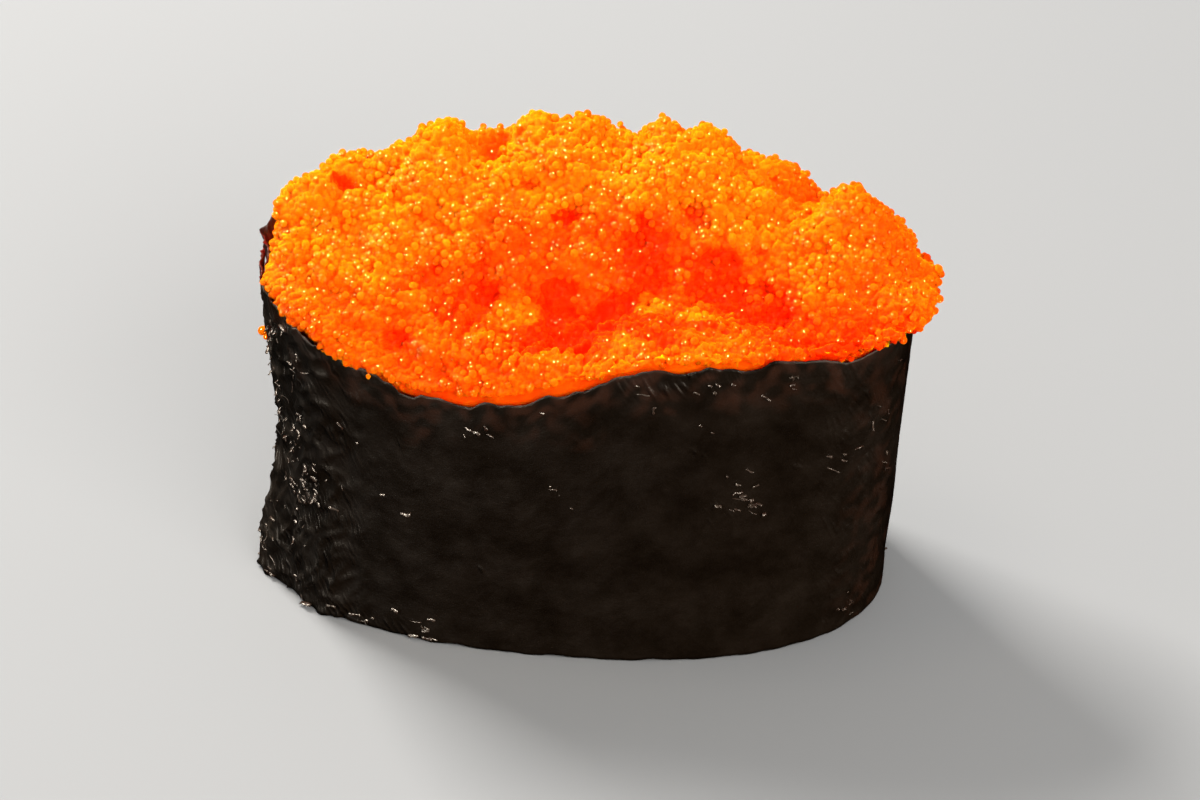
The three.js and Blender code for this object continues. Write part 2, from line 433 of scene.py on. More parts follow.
def nori_material(settings):
    """Toasted laver: seaweed pulp dried on mats into a sheet, and toasted until it is almost black.

    Its fibres leave a fine leathery grain. It is matt with small glints on the creases, and brown where the
    roe has wetted it. The same brown, in mottled patches at the right end, is partly the sheet's mottling and
    partly painted sheen. Red is painted where the torn edge is thin: light coming through it, tinted by the
    roe.
    """
    material, tree = new_material("toasted_laver_sheet")
    # The sheet_place values are in millimetres, so a scale of 1 gives features about 1 mm across.
    place, stain_and_sheen_mask, torn, crinkled = (
        add_node(tree, "ShaderNodeAttribute", {"attribute_name": name})
        for name in ("sheet_place", "stain_and_sheen", "torn", "crinkled")
    )
    # Patches of the pulp, about 4 mm across.
    patches = add_node(
        tree, "ShaderNodeTexNoise", {"Scale": 0.25, "Detail": 6.0, "Roughness": 0.65},
        {"Vector": place.outputs["Vector"]},
    )
    pulp = add_node(
        tree, "ShaderNodeValToRGB", links={"Fac": patches.outputs["Fac"]},
        stops=[(0.35, darker(settings.sheet, 0.45)), (0.7, settings.sheet)],
    )
    # A Mix node's colours are its sockets 6 and 7, and its mixed colour is output 2.
    # The stain mask mixes in the wetted brown, and at the right end a painted sheen.
    wetted = add_node(
        tree, "ShaderNodeMix", {"data_type": "RGBA", 7: settings.stain_and_sheen},
        {0: stain_and_sheen_mask.outputs["Fac"], 6: pulp.outputs["Color"]},
    )
    # Painted light: the thin torn edge is red, as lit through.
    edged = add_node(
        tree, "ShaderNodeMix", {"data_type": "RGBA", 7: settings.tip},
        {0: torn.outputs["Fac"], 6: wetted.outputs[2]},
    )
    # Fibres are about 0.1 mm thick, too fine to show: these are drawn 0.35 mm across.
    fibres = add_node(
        tree, "ShaderNodeTexNoise", {"Scale": 2.8, "Detail": 5.0, "Roughness": 0.7, "Distortion": 0.6},
        {"Vector": place.outputs["Vector"]},
    )
    # Wrinkles that lean over, about 0.6 mm wide and 2.2 mm long. They show on the crinkled places.
    leaning = add_node(
        tree, "ShaderNodeMapping",
        {"vector_type": "TEXTURE", "Rotation": (0, 0, math.radians(24)), "Scale": (0.35, 1.3, 1.0)},
        {"Vector": place.outputs["Vector"]},
    )
    folds = add_node(
        tree, "ShaderNodeTexNoise",
        {"noise_type": "RIDGED_MULTIFRACTAL", "Scale": 0.6, "Detail": 2.0, "Roughness": 0.5},
        {"Vector": leaning.outputs["Vector"]},
    )
    wrinkles = add_node(
        tree, "ShaderNodeMath", {"operation": "MULTIPLY"},
        {0: folds.outputs["Fac"], 1: crinkled.outputs["Fac"]},
    )
    grain = add_node(
        tree, "ShaderNodeBump", {"Strength": 0.4, "Distance": 0.12 * MM}, {"Height": fibres.outputs["Fac"]}
    )
    wrinkled = add_node(
        tree, "ShaderNodeBump", {"Strength": 1.0, "Distance": 0.42 * MM},
        {"Height": wrinkles.outputs[0], "Normal": grain.outputs["Normal"]},
    )
    gloss = add_node(
        tree, "ShaderNodeMapRange", {"From Min": 0.3, "From Max": 0.7, "To Min": 0.26, "To Max": 0.5},
        {"Value": patches.outputs["Fac"]},
    )
    surface = add_node(
        tree, "ShaderNodeBsdfPrincipled", {"IOR": 1.45, "Specular IOR Level": 0.4},
        {
            "Base Color": edged.outputs[2],
            "Roughness": gloss.outputs["Result"],
            "Normal": wrinkled.outputs["Normal"],
        },
    )
    add_node(tree, "ShaderNodeOutputMaterial", links={"Surface": surface.outputs["BSDF"]})
    return material


def flake_material(settings):
    """Flakes of laver that stand up where the sheet is creased or torn.

    They are thin and brown against the light, and their smooth toasted skin glints.
    """
    material, tree = new_material("toasted_laver_flake")
    place = add_node(tree, "ShaderNodeTexCoord")
    # Shades of brown, about 1 mm across.
    shade = clouded(
        tree, {"Vector": place.outputs["Object"]}, 1000.0, 2.0, (0.35, settings.stain_and_sheen), (0.65, settings.flake)
    )
    surface = add_node(
        tree, "ShaderNodeBsdfPrincipled", {"IOR": 1.45, "Roughness": 0.32, "Specular IOR Level": 1.0},
        {"Base Color": shade},
    )
    add_node(tree, "ShaderNodeOutputMaterial", links={"Surface": surface.outputs["BSDF"]})
    return material


def rice_material(settings):
    """Cooked short-grain rice, seasoned and pressed: white, faintly clear, with a starchy sheen."""
    material, tree = new_material("cooked_rice")
    place = add_node(tree, "ShaderNodeTexCoord")
    vector = {"Vector": place.outputs["Object"]}
    # Duller and whiter parts of the grains, about 2.2 mm across.
    dull = darker(settings.cooked, 0.86)
    shade = clouded(tree, vector, 450.0, 3.0, (0.3, dull), (0.65, settings.cooked))
    # Starch gel on the grains, in spots about 0.6 mm across.
    starch = add_node(tree, "ShaderNodeTexNoise", {"Scale": 1600.0, "Detail": 2.0}, vector)
    grain = add_node(
        tree, "ShaderNodeBump", {"Strength": 0.25, "Distance": 0.1 * MM}, {"Height": starch.outputs["Fac"]}
    )
    surface = add_node(
        tree, "ShaderNodeBsdfPrincipled",
        {
            "Roughness": 0.38,
            "IOR": 1.45,
            "Subsurface Weight": 0.6,
            "Subsurface Radius": (1.0, 0.85, 0.6),
            "Subsurface Scale": 0.8 * MM,
        },
        {"Base Color": shade, "Normal": grain.outputs["Normal"]},
    )
    add_node(tree, "ShaderNodeOutputMaterial", links={"Surface": surface.outputs["BSDF"]})
    return material


def paper_material(settings):
    """Matt paper under the sushi: plain and pale, with faint clouds so that it isn't dead flat."""
    material, tree = new_material("matt_paper")
    # Across the whole floor there are about three clouds.
    shade = clouded(tree, {}, 3.0, 3.0, (0.3, darker(settings.floor, 0.97)), (0.7, settings.floor))
    surface = add_node(
        tree, "ShaderNodeBsdfPrincipled", {"Roughness": 0.8, "Specular IOR Level": 0.2}, {"Base Color": shade}
    )
    add_node(tree, "ShaderNodeOutputMaterial", links={"Surface": surface.outputs["BSDF"]})
    return material


# ------------ the roe ------------

# Crowns of the heap and the dips between them: place in plan, rise and reach, in millimetres.
CROWNS = [
    (-23.0, 1.0, 1.0, 2.8),
    (-20.0, 4.0, 0.8, 2.4),
    (-16.8, 5.5, 0.5, 1.9),
    (-12.0, 7.0, 0.5, 3.0),
    (-8.9, 8.0, -1.0, 1.5),
    (-5.0, 8.5, 0.5, 2.2),
    (-2.4, 9.0, -0.8, 1.1),
    (-0.6, 9.0, 0.8, 1.6),
    (2.6, 9.0, -0.5, 1.3),
    (5.0, 9.0, 0.8, 1.7),
    (7.4, 8.5, -0.3, 0.9),
    (9.4, 8.5, 0.8, 2.2),
    (13.0, 8.0, 0.4, 1.8),
    (16.2, 9.0, 0.9, 2.2),
    (21.8, 6.0, 0.9, 2.8),
    (24.0, 3.5, 1.0, 2.6),
    (27.0, -1.5, 0.5, 4.5),
    (20.0, 4.5, 0.7, 4.5),
]
# Hollows carved into the roe and painted redder as shade: place in plan, half of the length and width, depth
# (all in millimetres), and how red their painted shade is.
HOLLOWS = [
    (-5.1, 1.5, 0.6, 0.35, 0.5, 0.7),
    (-1.9, -0.5, 1.1, 0.4, 0.6, 0.9),
    (8.3, 0.5, 0.6, 0.4, 0.3, 0.5),
    (13.8, -1.4, 0.6, 0.5, 0.4, 0.6),
    (4.9, -3.2, 1.9, 2.2, 0.3, 0.6),
    (3.6, -6.2, 3.0, 1.7, 0.9, 1.0),
    (0.2, -8.0, 2.8, 1.3, 0.8, 1.0),
    (-1.9, -5.6, 1.8, 1.4, 0.5, 0.8),
    (11.0, -3.8, 3.4, 1.4, 0.4, 0.6),
    (14.8, -5.7, 2.2, 1.1, 0.8, 1.0),
    (19.2, -9.0, 2.7, 1.0, 0.6, 0.9),
    (-11.8, -3.9, 1.0, 0.7, 0.3, 0.4),
    (-7.7, -5.2, 1.0, 0.6, 0.5, 0.8),
    (-14.4, -9.7, 1.3, 0.7, 0.2, 0.4),
    (-20.0, 1.6, 0.9, 0.6, 0.3, 0.9),
]
# Drifts of golden eggs in the trough, over its painted red shade: place in plan, half of the length and width.
DRIFTS = [
    (5.5, -5.6, 1.7, 0.9),
    (9.3, -6.8, 1.7, 0.8),
    (-5.3, -6.3, 2.0, 1.1),
]
DRIFT_HEIGHT = 0.35 * MM
# The trough along the front, where the roe is painted redder as shade: place in plan, half of the length and
# width.
SHADED_TROUGH = (2.0, -5.1, 17.5, 5.6)
SKIN_STEP = 0.42 * MM  # size of the bed's faces
SKIN_SMOOTHINGS = 7  # enough to lose the facets of the solid
SWIRL_SIZE = 5 * MM  # of the swirls that bend the clumps' outlines
SWIRL_REACH = 1.6 * MM
MOUND_LEVEL = 0.6  # how high a mound is where it leaves the outline as it was


def patch(places, oblong, ragged, edge):
    """1 inside an oblong of the plan, given in millimetres, and 0 outside it, with a ragged edge."""
    x, y, half_length, half_width = oblong
    away = np.hypot((places[:, 0] / MM - x) / half_length, (places[:, 1] / MM - y) / half_width)
    return 1 - rise(away + ragged, *edge)


def heap_clumps(places, size):
    """How far clumps of eggs stand out of the outline or lie under it, and the small clusters on them too."""
    swirl = np.stack([ripple(places, SWIRL_SIZE, seed) for seed in (1, 2, 3)], axis=1) * SWIRL_REACH
    clumps = mounds(places + swirl, size, 4) - MOUND_LEVEL
    small_clumps = mounds(places + swirl, size * 0.5, 9) - MOUND_LEVEL
    clusters = mounds(places + swirl * 0.2, size * 0.27, 10) - MOUND_LEVEL
    return 0.6 * clumps + 0.7 * small_clumps, clusters


def heap_gold_and_shade(places, normals, relief, clusters, hollow_shade, drifted):
    """How golden the roe is painted: about 1 on the crest and 0 deep in the hollows. The noise and the golden
    drifts are the roe's own tone; the rest is painted light and shade.
    """
    across = places[:, 0] / MM
    front = -places[:, 1] / MM
    ragged = 0.35 * ripple(places, 3 * MM, 33) + 0.2 * ripple(places, 1.2 * MM, 34)
    trough_shade = patch(places, SHADED_TROUGH, ragged, (0.7, 1.05))
    back_slope_shade = rise(0.79 * normals[:, 1] - 0.61 * normals[:, 2], -0.15, 0.35)
    # Painted light: clumps and clusters that stand out are more golden.
    gold_and_shade = 0.9 + 0.12 * relief + 0.13 * clusters
    gold_and_shade += 0.14 * ripple(places, 1.9 * MM, 32) + 0.16 * ripple(places, 4 * MM, 31)
    # Painted shade: the trough, the right end away from the light, the front lip and the hollows are redder.
    gold_and_shade -= 0.42 * trough_shade + 0.28 * rise(across, 8, 25) + 0.34 * rise(front, 3.5, 9) + 0.7 * hollow_shade
    gold_and_shade += np.maximum(0.8 - gold_and_shade, 0) * drifted
    # Painted shade: slopes turned back and down are redder, more so towards the right.
    return gold_and_shade - (0.12 + 0.2 * rise(across, 0, 8)) * back_slope_shade


def heap_depth(places, normals, over_rim, bed_depth):
    """How far the bed lies below the heap's outline. At the front rim it comes out and touches the nori."""
    front = rise(-places[:, 1], 0, 4 * MM)
    left = front * rise(-places[:, 0] / MM, 12, 20)
    near_rim = (1 - rise(over_rim, 0.5 * MM, 2.5 * MM)) * rise(over_rim, -1.2 * MM, -0.5 * MM)
    touching = 0.55 * rise(over_rim, -1.2 * MM, -0.7 * MM) + 0.2 * rise(over_rim, -0.2 * MM, 0) + 0.35 * left
    touching *= front * (1 - rise(over_rim, 0.4 * MM, 1.2 * MM)) * rise(normals[:, 2], -0.5, -0.1)
    lapping = 1.05 * left * near_rim * rise(over_rim, -0.2 * MM, 0.3 * MM)
    return bed_depth * (1 - 0.6 * near_rim) - MM * np.maximum(touching, lapping)


def heap_skin(settings):
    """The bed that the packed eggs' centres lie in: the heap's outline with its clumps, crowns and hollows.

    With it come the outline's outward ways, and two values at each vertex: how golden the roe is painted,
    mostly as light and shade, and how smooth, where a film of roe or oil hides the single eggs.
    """
    mesh = remeshed(cad_mesh("masago_heap"), SKIN_STEP, SKIN_SMOOTHINGS)
    places = mesh_values(mesh, "co")
    normals = mesh_values(mesh, "normal")
    over_rim = places[:, 2] - rim_height(places)
    relief, clusters = heap_clumps(places, settings.clump_size)
    lift = settings.clump_height * (relief + 0.16 * clusters)
    for x, y, height, reach in CROWNS:
        crown = dome(np.hypot(places[:, 0] - x * MM, places[:, 1] - y * MM) / (reach * MM))
        lift = lift * (1 - 0.6 * crown) + height * MM * crown
    ragged = 0.45 * ripple(places, 1.5 * MM, 41) + 0.2 * ripple(places, 0.7 * MM, 42)
    hollow_shade = np.zeros(len(places))
    # Each hollow is carved out and painted redder, as shade.
    for *oblong, depth, red in HOLLOWS:
        inside = patch(places, oblong, ragged, (0.85, 1.1))
        lift -= depth * MM * inside
        hollow_shade = np.maximum(hollow_shade, red * inside)
    drifted = np.max([patch(places, oblong, ragged, (0.7, 1.2)) for oblong in DRIFTS], axis=0)
    lift += DRIFT_HEIGHT * drifted
    lift *= rise(over_rim, -0.2 * MM, 1.6 * MM)
    gold_and_shade = heap_gold_and_shade(places, normals, relief, clusters, hollow_shade, drifted)
    front_edge = rise(-places[:, 1] / MM, 10.2, 11.2) * (1 - rise(np.abs(places[:, 0] / MM - 3), 14, 18))
    lip = front_edge * (1 - rise(over_rim, 0.3 * MM, 1.0 * MM))
    smoothness = np.maximum(lip, 0.4 * rise(hollow_shade, 0.6, 0.8))
    depth = heap_depth(places, normals, over_rim, settings.bed_depth)
    place_vertices(mesh, places + normals * (lift - depth)[:, None])
    return mesh, normals, gold_and_shade, smoothness


def spots_on(mesh, count, values, random):
    """Scattered spots on a mesh, evenly by area: their places, their normals and the values at each."""
    mesh.calc_loop_triangles()
    corners = np.empty(len(mesh.loop_triangles) * 3, dtype=np.int64)
    mesh.loop_triangles.foreach_get("vertices", corners)
    corners = corners.reshape(-1, 3)
    places = mesh_values(mesh, "co")
    a, b, c = (places[corners[:, side]] for side in range(3))
    area = np.linalg.norm(np.cross(b - a, c - a), axis=1)
    chosen = corners[np.searchsorted(np.cumsum(area) / area.sum(), random.random(count))]
    share = random.random((count, 2))
    share[share.sum(axis=1) > 1] = 1 - share[share.sum(axis=1) > 1]
    weights = np.column_stack([1 - share.sum(axis=1), share])[:, :, None]
    spots, normals, found = (
        (rows[chosen] * weights).sum(axis=1) for rows in (places, mesh_values(mesh, "normal"), values)
    )
    return spots, unit(normals), found


class BallPile:
    """Balls filed by the cell that each lies in, so that a ball's neighbours are quickly found."""

    def __init__(self, cell):
        self.cell = cell
        self.cells = {}
        self.steps = list(itertools.product((-1, 0, 1), repeat=3))

    def add(self, place, radius):
        """Files a ball."""
        key = tuple(math.floor(value / self.cell) for value in place)
        self.cells.setdefault(key, []).append((*place, radius))

    def near(self, place):
        """The balls in the cells round a place."""
        i, j, k = (math.floor(value / self.cell) for value in place)
        for a, b, c in self.steps:
            yield from self.cells.get((i + a, j + b, k + c), ())

    def rest(self, place, way, radius):
        """How far out along a way a ball comes to rest on the others, or None where it meets nothing."""
        highest = None
        for x, y, z, other in self.near(place):
            dx, dy, dz = x - place[0], y - place[1], z - place[2]
            along = dx * way[0] + dy * way[1] + dz * way[2]
            aside = dx * dx + dy * dy + dz * dz - along * along
            reach = SETTLING * (radius + other)
            if aside < reach * reach:
                height = along + math.sqrt(reach * reach - aside)
                if highest is None or height > highest:
                    highest = height
        return highest


# An egg is a row of eight values: its centre, its radius, how golden it is painted, with light and shade, and
# the heap's outward way there.
PACKED_TRIES = 90000
PACKED_SPACING = 1.5  # least distance between the centres of packed eggs, in radii
SETTLING = 0.8  # soft eggs rest on each other as if they were this share of their size
# Passes of loose eggs. The first beds them in the dimples between the packed ones, and the second heaps more
# on the crest: spots tried, highest rest in radii, least gold, and least height over the rim in millimetres.
LOOSE_PASSES = [
    (4800, 1.3, -math.inf, 0.05),
    (900, 2.2, 0.62, 1.5),
]


def pack_eggs(bed, values, pile, radius, random):
    """The eggs packed side by side in the core's surface."""
    spots, ways, found = spots_on(bed, PACKED_TRIES, values, random)
    spots += ways * 0.2 * radius * random.standard_normal((len(spots), 1))
    shown = (spots[:, 2] - rim_height(spots) > -0.1 * MM) & (found[:, 1] < 0.5)
    spacing = PACKED_SPACING * radius
    eggs = []
    for place, way, gold_and_shade in zip(spots[shown].tolist(), ways[shown].tolist(), found[shown, 0].tolist()):
        size = radius * random.uniform(0.92, 1.1)
        if all(math.dist(place, ball[:3]) > spacing for ball in pile.near(place)):
            pile.add(place, size)
            eggs.append((*place, size, gold_and_shade, *way))
    return np.array(eggs)


def drop_eggs(bed, values, pile, radius, random):
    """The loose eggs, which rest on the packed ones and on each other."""
    eggs = []
    for count, highest, least_gold, least_over in LOOSE_PASSES:
        spots, ways, found = spots_on(bed, count, values, random)
        over_rim = spots[:, 2] - rim_height(spots)
        for place, way, (gold_and_shade, smooth), over in zip(*(v.tolist() for v in (spots, ways, found, over_rim))):
            size = radius * random.uniform(0.9, 1.12)
            if smooth > 0.2 or gold_and_shade < least_gold or over < least_over * MM:
                continue
            height = pile.rest([p + w * 0.5 * radius for p, w in zip(place, way)], way, size)
            if height is None or not 0.1 * radius < height + 0.5 * radius < highest * radius:
                continue
            centre = [p + w * (height + 0.5 * radius) for p, w in zip(place, way)]
            pile.add(centre, size)
            eggs.append((*centre, size, gold_and_shade, *way))
    return np.array(eggs)


def egg_relief(mesh, ways, packed):
    """Raises a mesh's surface, along the ways given, over the eggs packed in it."""
    places = mesh_values(mesh, "co")
    tree = point_tree(packed)
    nearest = np.array([[found[1] for found in tree.find_n(place, 3)] for place in places.tolist()])
    height = np.full(len(places), VALLEY)
    for eggs in nearest.T:
        toward = packed[eggs, :3] - places
        along = (toward * ways).sum(axis=1)
        room = packed[eggs, 3] ** 2 - (toward**2).sum(axis=1) + along**2
        top = along + np.sqrt(np.maximum(room, 0))
        height = np.where(room > 0, np.maximum(height, top), height)
    # The relief fades out where a face turns away from its way, as on the sides of a cleft.
    level = rise((mesh_values(mesh, "normal") * ways).sum(axis=1), 0.15, 0.55)
    height = VALLEY + (height - VALLEY) * level
    place_vertices(mesh, places + ways * height[:, None])


def closed_below(mesh, cut, foot):
    """Cuts a body off at one height and closes it again with long faces down to its foot."""
    body = bmesh.new()
    body.from_mesh(mesh)
    geometry = body.verts[:] + body.edges[:] + body.faces[:]
    bmesh.ops.bisect_plane(body, geom=geometry, plane_co=(0, 0, cut), plane_no=(0, 0, 1), clear_inner=True)
    rim = [edge for edge in body.edges if edge.is_boundary]
    walls = bmesh.ops.extrude_edge_only(body, edges=rim)["geom"]
    for vertex in (item for item in walls if isinstance(item, bmesh.types.BMVert)):
        vertex.co.z = foot
    bottom = [item for item in walls if isinstance(item, bmesh.types.BMEdge) and item.is_boundary]
    bmesh.ops.triangle_fill(body, edges=bottom, use_beauty=True)
    bmesh.ops.recalc_face_normals(body, faces=body.faces)
    body.to_mesh(mesh)
    body.free()
    mesh.shade_smooth()
    mesh.update()


CORE_CUT = 24.2 * MM  # below this height the core is out of sight, and has long plain faces
CORE_FOOT = 1.2 * MM  # height of its foot over the bottom of the heap's solid
VALLEY = -0.02 * MM  # where the core's surface lies between the packed eggs: a little under their centres


def heap_core(bed, ways, golds_and_shades, packed, step):
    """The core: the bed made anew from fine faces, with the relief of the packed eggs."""
    core = remeshed(bed, step)
    closed_below(core, CORE_CUT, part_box("masago_heap")[0].z + CORE_FOOT)
    places = mesh_values(core, "co")
    tree = point_tree(mesh_values(bed, "co"))
    nearest = [tree.find(place)[1] for place in places.tolist()]
    egg_relief(core, ways[nearest], packed)
    gold_and_shade = golds_and_shades[nearest]
    # Painted shade: the core between the separate eggs is redder, most where it is red already. The noise is
    # real tone.
    gold_and_shade += 0.08 * ripple(places, 1.1 * MM, 52) - 0.03 - 0.06 * (1 - rise(gold_and_shade, 0.2, 0.6))
    paint(core, "gold_and_shade", gold_and_shade)
    return core


FLUSH_SHARE = 0.22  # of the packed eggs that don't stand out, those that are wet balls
WET_SHARE = 0.55  # of the standing and loose eggs, the most that are wet


def separate_eggs(packed, loose, random):
    """The eggs that are balls of their own, by kind: red, orange, golden and wet.

    Most packed eggs are only relief of the core. Of the others, some stand out of it, more of them in some
    places than in others, and some are level with it and wet, to give the relief its highlights.
    """
    swell = ripple(packed[:, :3], 6 * MM, 51)
    stand_out = random.random(len(packed)) < 0.08 + 0.32 * rise(swell, -0.25, 0.45)
    above_rim = packed[:, 2] - rim_height(packed[:, :3]) > 0.05 * MM
    out = packed[stand_out & above_rim]
    out[:, :3] += out[:, 5:8] * random.uniform(0, 0.4, (len(out), 1)) * out[:, 3:4]
    flush = packed[~stand_out & above_rim & (random.random(len(packed)) < FLUSH_SHARE)]
    flush[:, 3] *= 1.02
    eggs = np.concatenate([out, loose])
    eggs[:, 4] += 0.12 * ripple(eggs[:, :3], 1.3 * MM, 53) + 0.03 * random.standard_normal(len(eggs))
    # Painted light: the redder separate eggs are made a little more golden than the core round them.
    eggs[:, 4] += 0.06 * (1 - rise(eggs[:, 4], 0.3, 0.7))
    wet = random.random(len(eggs)) < WET_SHARE * rise(eggs[:, 4], 0.1, 0.6)
    dull = eggs[~wet]
    # The kinds follow the gold value, so they are filed by its painted light and shade as well.
    dull = dull[np.argsort(dull[:, 4] + 0.1 * random.standard_normal(len(dull)))]
    kinds = dict(zip(("red", "orange", "golden"), np.array_split(dull, 3)))
    kinds["wet"] = np.concatenate([eggs[wet], flush])
    return kinds


SOFTNESS = 0.46  # how much an egg is shaded as the heap round it is, because light spreads inside it


def ball_mesh(name, eggs, random):
    """Many eggs joined in one mesh: each a little out of round, and turned its own way."""
    corners, faces = unit_ball(bmesh.ops.create_icosphere, subdivisions=2)
    count = len(eggs)
    stretch = 1 + 0.06 * random.standard_normal((count, 1, 3))
    turns = np.linalg.qr(random.standard_normal((count, 3, 3)))[0]
    turns *= np.sign(np.linalg.det(turns))[:, None, None]
    shaped = np.einsum("nvi,nij->nvj", corners * stretch, turns)
    places = shaped * eggs[:, None, 3:4] + eggs[:, None, :3]
    mesh = joined_mesh(name, places, faces)
    own_way = unit(places - eggs[:, None, :3])
    heap_way = unit(eggs[:, None, 5:8] + (0, 0, 0.5))
    shading = unit(own_way * (1 - SOFTNESS) + heap_way * SOFTNESS)
    mesh.normals_split_custom_set_from_vertices(shading.reshape(-1, 3))
    # Each egg is more golden on one side: partly the oil that gathers there, partly painted light, as that
    # side leans to the lower front, where light through the egg gathers.
    oil_and_glow_side = unit(random.standard_normal((count, 1, 3)) + (0, -0.4, -0.7))
    paint(mesh, "gold_and_shade", (eggs[:, None, 4] + 0.06 * (own_way * oil_and_glow_side).sum(axis=2)).ravel())
    return mesh


class SUSHI_OT_heap_masago(bpy.types.Operator):
    """Heap the roe: a core with the relief of packed eggs, and separate eggs of four kinds on it"""

    bl_idname = "sushi.heap_masago"
    bl_label = "Heap the Masago"

    def execute(self, context):
        settings = context.scene.sushi.masago
        random = np.random.default_rng(settings.random_seed)
        radius = settings.egg_diameter / 2
        pile = BallPile(settings.egg_diameter * 1.25)
        bed, ways, golds_and_shades, smoothness = heap_skin(settings)
        values = np.column_stack([golds_and_shades, smoothness])
        packed = pack_eggs(bed, values, pile, radius, random)
        loose = drop_eggs(bed, values, pile, radius, random)
        core = heap_core(bed, ways, golds_and_shades, packed, settings.core_step)
        material = roe_material("salted_roe_packed", settings, *PACKED_GLOSS)
        finished("masago_core", core, material, "masago_heap")
        for kind, eggs in separate_eggs(packed, loose, random).items():
            mesh = ball_mesh(f"masago_eggs_{kind}", eggs, random)
            gloss = WET_GLOSS if kind == "wet" else PACKED_GLOSS
            material = roe_material(f"salted_roe_{kind}", settings, *gloss)
            finished(f"masago_eggs_{kind}", mesh, material, "masago_heap")
        bpy.data.meshes.remove(bed)
        return {"FINISHED"}


# Eggs that stuck to the outside of the nori: place round the plan (0.5 is -X and 0.75 is -Y), height in
# millimetres, and size as a share of an egg.
STRAYS = [
    (0.524, 23.4, 1.4),
    (0.5205, 22.5, 0.8),
    (0.650, 26.6, 0.7),
]
STRAY_GOLD = 0.8
STRAY_SEED = 5


def sheet_tree():
    """The finished sheet of nori in a tree, to cast rays at."""
    sheet = bpy.data.objects.get("nori_sheet")
    if sheet is None:
        raise RuntimeError("Wrap the nori first")
    return mesh_tree(sheet.data)


def wall_spot(tree, turn, height):
    """The place and normal of the outside of the nori at an angle round the plan, or None over its rim."""
    start = Vector((2 * PLAN_HALF[0] * math.cos(turn), 2 * PLAN_HALF[1] * math.sin(turn), height))
    found, normal, _, away = tree.ray_cast(start, Vector((0, 0, height)) - start)
    # A ray that passes over the rim would reach the inside of the wall beyond the middle.
    if found is None or away > 0.75 * start.xy.length:
        return None, None
    return found, normal


class SUSHI_OT_stick_strays(bpy.types.Operator):
    """Stick the stray eggs to the outside of the nori"""

    bl_idname = "sushi.stick_strays"
    bl_label = "Stick the Stray Eggs"

    def execute(self, context):
        settings = context.scene.sushi.masago
        tree = sheet_tree()
        eggs = []
        for share, height, part in STRAYS:
            found, normal = wall_spot(tree, TURN * share, height * MM)
            radius = part * settings.egg_diameter / 2
            eggs.append((*(found + normal * 0.7 * radius), radius, STRAY_GOLD, *normal))
        mesh = ball_mesh("masago_strays", np.array(eggs), np.random.default_rng(STRAY_SEED))
        material = roe_material("salted_roe_stray", settings, *WET_GLOSS)
        finished("masago_strays", mesh, material, "masago_heap")
        return {"FINISHED"}


# ------------ the nori ------------

# Places round the plan: 0 is +X, 0.25 is +Y, 0.5 is -X and 0.75 is -Y.
OUTER_END = 0.494
TORN_PLACE = 0.474  # of the inner layer's torn rim, behind the outer end
TORN_REACH = 0.02
END_LEAN = 4.5 * MM  # how much further round the front the outer end's foot lies than its top
LEAN_LENGTH = 16 * MM
END_LENGTH = 5 * MM  # over which the outer end flares and frays
FLARE = 1.3 * MM  # how far its lower corner stands off
CLIMB_LENGTH = 3 * MM  # over which the outer end comes down off the inner end
LAP_GAP = 0.06 * MM
TUCK = 0.7 * MM  # how much lower the rim of the inner end is, so that the roe meets the outer end
BULGE = 0.13 * MM
WORN_RIM = 0.85  # how much of its thickness the rim has lost
WALL_ANGLES = 720  # at which the wall is measured
WALL_HEIGHTS = 13  # at which it is measured, from just over its foot to just under its rim
WALL_SMOOTHING = 16  # how many angles to each side the measures are smoothed over
WALL_BELL = 6  # how many angles wide the bell is that they are smoothed with
# Wrinkled spots on the front: place along X, height, and reach, in millimetres.
WRINKLES = [
    (11.3, 15.9, 2.3),
    (-7.5, 8.7, 0.8),
    (17.7, 19.6, 1.1),
    (0.7, 22.8, 0.9),
    (9.8, 21.6, 1.3),
    (-16.9, 26.2, 1.0),
    (23.6, 2.2, 1.6),
    (-14.0, 20.0, 1.2),
]


def wall_profile():
    """The inner face of the nori: angles round the plan, the ways to them, and how far it is by height."""
    tree = mesh_tree(cad_mesh("nori_band"))
    angles = np.arange(WALL_ANGLES) * TURN / WALL_ANGLES
    ways = around(angles)
    rim = np.interp(angles, RIM_ANGLES, RIM_HEIGHTS, period=TURN)
    reaches = np.zeros((WALL_HEIGHTS, WALL_ANGLES))
    for row, share in enumerate(np.linspace(0.02, 0.97, WALL_HEIGHTS)):
        for column in range(WALL_ANGLES):
            start = (PLAN_MIDDLE[0], PLAN_MIDDLE[1], share * rim[column])
            reaches[row, column] = tree.ray_cast(start, ways[column])[3]
    # The step where the strip climbs onto itself, and the facets, are smoothed away.
    side = WALL_SMOOTHING
    window = np.exp(-0.5 * (np.arange(-side, side + 1) / WALL_BELL) ** 2)
    window /= window.sum()
    for row in range(WALL_HEIGHTS):
        wrapped = np.concatenate([reaches[row, -side:], reaches[row], reaches[row, :side]])
        reaches[row] = np.convolve(wrapped, window, "valid")
    return angles, ways, reaches


